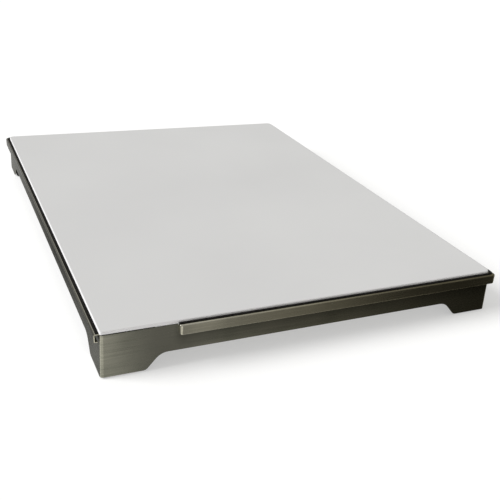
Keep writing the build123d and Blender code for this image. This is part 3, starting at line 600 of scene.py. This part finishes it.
def add_bead(builder, start, end, size):
    """A rippled weld bead along a straight line, thinner at both ends."""
    start, end = Vector(start), Vector(end)
    along = (end - start).normalized()
    side = along.orthogonal().normalized()
    other = along.cross(side)
    ripples = max(3, round((end - start).length / size))
    steps = ripples * RINGS_TO_A_RIPPLE
    before = None
    for step in range(steps + 1):
        part = step / steps
        ripple = 1.0 - RIPPLE + RIPPLE * abs(math.sin(math.pi * ripples * part))
        closing = min(1.0, BEAD_END + BEAD_SWELL * min(part, 1.0 - part) * steps)
        radius = size * ripple * closing
        centre = start.lerp(end, part)
        loop = []
        for turn in range(BEAD_SIDES):
            angle = 2 * math.pi * turn / BEAD_SIDES
            offset = side * (radius * math.cos(angle)) + other * (radius * math.sin(angle))
            loop.append(builder.verts.new(centre + offset))
        if before:
            join_rings(builder, before, loop)
        else:
            builder.faces.new(loop)
        before = loop
    builder.faces.new(before)


def make_deck_welds():
    """Upright beads in the corners between the deck's long and cross tubes."""
    builder = bmesh.new()
    for cross in ("front", "middle", "rear"):
        low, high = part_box("deck_cross_" + cross)
        for x in (low.x, high.x):
            for y in (low.y, high.y):
                bottom, top = (x, y, low.z + BEAD), (x, y, high.z - BEAD_TOP_GAP)
                add_bead(builder, bottom, top, BEAD)
    finish_piece("deck_welds", builder, "deck_steel", "deck")


def stitches(start, end):
    """Short weld lengths spaced evenly between two ends of a joint."""
    count = max(1, round((end - start) / STITCH_PITCH))
    pitch = (end - start) / count
    for i in range(count):
        middle = start + (i + 0.5) * pitch
        yield middle - STITCH / 2, middle + STITCH / 2


def make_frame_welds():
    """Stitch welds that hold the base rails to the skirt's inner faces."""
    builder = bmesh.new()
    for side in ("left", "right"):
        low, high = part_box("side_rail_" + side)
        x = low.x + BEAD_SET_IN if side == "left" else high.x - BEAD_SET_IN
        for start, end in stitches(low.y, high.y):
            add_bead(builder, (x, start, high.z), (x, end, high.z), BEAD)
    for side in ("front", "rear"):
        low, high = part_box("end_rail_" + side)
        y = low.y + BEAD_SET_IN if side == "front" else high.y - BEAD_SET_IN
        for start, end in stitches(low.x, high.x):
            add_bead(builder, (start, y, high.z), (end, y, high.z), BEAD)
    finish_piece("frame_welds", builder, "frame_steel", "base")


make_mat()
make_tray()
for place in ("front_left", "front_right", "rear_left", "rear_right"):
    make_stem(place)
make_deck_welds()
make_frame_welds()


# ---------------------------------------------------------------- stage, light and camera

FLOOR_HALF = 30.0
KEY_FROM = (-0.80, 0.15, 0.58)
KEY_POWER = 3.6
KEY_SPREAD = 35.0
FLOOR_COLOUR = (0.55, 0.55, 0.55)
FLOOR_ROUGHNESS = 0.9
FLOOR_GLOW = 0.45
WHITE = (1.0, 1.0, 1.0, 1.0)
# Directions, as the sine of the height or the share towards an axis, where one part fades to the next
HORIZON = (-0.08, 0.15)
GROUND_FROM = -0.68
GROUND_FULL = -0.92
BACK_FROM = (0.0, 0.5)
WARM_FROM = (0.25, 0.62)
NEUTRAL_TINT = (1.0, 1.0, 0.98)
WARM_TINT = (1.0, 0.92, 0.68)
FRONT_TINT = (0.985, 0.93)
# Brightness of the surroundings. Across the front below the horizon, from -X to +X
FRONT_STOPS = (
    (0.00, 1.10), (0.575, 1.10), (0.60, 0.50), (0.615, 0.15), (0.635, 0.16), (0.655, 0.34),
    (0.68, 0.18), (0.75, 0.09), (0.79, 0.020), (0.84, 0.008), (0.93, 0.10), (1.00, 0.40),
)
# Across the back below the horizon, from straight down up to the horizon
BACK_STOPS = (
    (0.00, 0.80), (0.35, 0.55), (0.50, 0.28), (0.57, 0.03),
    (0.64, 0.04), (0.71, 0.35), (0.80, 0.60), (1.00, 0.60),
)
# Straight down
GROUND_STOPS = ((0.00, 0.55), (1.00, 0.45))
# How much of the dome's brightness is left towards +X
EAST_STOPS = ((0.00, 1.0), (0.30, 0.90), (0.45, 0.60), (0.60, 0.20), (0.80, 0.35), (1.00, 0.60))
# From the horizon up to overhead
DOME_STOPS = ((0.00, 0.10), (0.35, 0.38), (1.00, 0.66))


def make_floor():
    """A plain pale floor. Steel doesn't mirror it, so that its tone comes from the surroundings alone."""
    mesh = bpy.data.meshes.new("floor")
    corners = [(-1, -1), (1, -1), (1, 1), (-1, 1)]
    points = [(x * FLOOR_HALF, y * FLOOR_HALF, 0.0) for x, y in corners]
    mesh.from_pydata(points, [], [(0, 1, 2, 3)])
    floor = bpy.data.objects.new("floor", mesh)
    bpy.context.scene.collection.objects.link(floor)
    made, tree, shader = new_material("floor_surface", FLOOR_COLOUR, 0.0, FLOOR_ROUGHNESS)
    shader.inputs["Specular IOR Level"].default_value = 0.0
    shader.inputs["Emission Color"].default_value = WHITE
    shader.inputs["Emission Strength"].default_value = FLOOR_GLOW
    floor.data.materials.append(made)
    floor.visible_glossy = False


def ramp(tree, factor, stops, green=1.0, blue=1.0):
    """Colour ramp from (place, brightness) stops, with its green and blue held back for a warmer tone."""
    node = put(tree, "ShaderNodeValToRGB", {"Fac": factor})
    marks = node.color_ramp.elements
    while len(marks) < len(stops):
        marks.new(0.5)
    for mark, (place, level) in zip(marks, stops):
        mark.position = place
        mark.color = (level, level * green, level * blue, 1.0)
    return node.outputs["Color"]


def ranged(tree, value, start, end):
    """Map a value so that start becomes 0 and end becomes 1."""
    return spread(tree, value, 0.0, 1.0, start, end)


def make_world():
    """Soft studio room: pale above; low down bright at the front left and dark at the front right."""
    world = bpy.data.worlds.new("studio")
    bpy.context.scene.world = world
    world.use_nodes = True
    tree = world.node_tree
    tree.nodes.clear()
    place = put(tree, "ShaderNodeTexCoord")
    parts = put(tree, "ShaderNodeSeparateXYZ", {"Vector": place.outputs["Generated"]})
    east, north, up = parts.outputs["X"], parts.outputs["Y"], parts.outputs["Z"]
    front = ramp(tree, ranged(tree, east, -1.0, 1.0), FRONT_STOPS, *FRONT_TINT)
    back = ramp(tree, ranged(tree, up, -1.0, 0.0), BACK_STOPS)
    low = colour_mix(tree, ranged(tree, north, *BACK_FROM), front, back)
    ground = ramp(tree, ranged(tree, up, GROUND_FULL, GROUND_FROM), GROUND_STOPS)
    low = colour_mix(tree, ranged(tree, up, GROUND_FROM, GROUND_FULL), low, ground)
    dome = ramp(tree, ranged(tree, up, 0.0, 1.0), DOME_STOPS)
    eastern = ramp(tree, ranged(tree, east, 0.0, 1.0), EAST_STOPS)
    high = put(tree, "ShaderNodeVectorMath", {0: dome, 1: eastern}, operation="MULTIPLY").outputs[0]
    whole = colour_mix(tree, ranged(tree, up, *HORIZON), low, high)
    seen = put(tree, "ShaderNodeLightPath").outputs["Is Camera Ray"]
    backdrop = put(tree, "ShaderNodeRGB")
    backdrop.outputs[0].default_value = WHITE
    warmth = tint(tree, ranged(tree, east, *WARM_FROM), NEUTRAL_TINT, WARM_TINT)
    warmed = put(tree, "ShaderNodeVectorMath", {0: whole, 1: warmth}, operation="MULTIPLY")
    shown = colour_mix(tree, seen, warmed.outputs[0], backdrop.outputs[0])
    surround = put(tree, "ShaderNodeBackground", {"Color": shown, "Strength": 1.0})
    put(tree, "ShaderNodeOutputWorld", {"Surface": surround.outputs["Background"]})


def make_key():
    """One broad soft light from high on the left, a little behind."""
    data = bpy.data.lights.new("key", "SUN")
    data.energy = KEY_POWER
    data.angle = math.radians(KEY_SPREAD)
    light = bpy.data.objects.new("key", data)
    light.rotation_euler = Vector(KEY_FROM).to_track_quat("Z", "Y").to_euler()
    bpy.context.scene.collection.objects.link(light)


def make_camera():
    """The camera, without depth of field."""
    data = bpy.data.cameras.new("camera")
    data.lens = CAMERA_LENS
    data.shift_x, data.shift_y = CAMERA_SHIFT
    camera = bpy.data.objects.new("camera", data)
    camera.location = CAMERA_PLACE
    camera.rotation_euler = [math.radians(angle) for angle in CAMERA_TURN]
    bpy.context.scene.collection.objects.link(camera)
    bpy.context.scene.camera = camera


make_floor()
make_world()
make_key()
make_camera()
bpy.context.scene.view_settings.view_transform = "Standard"
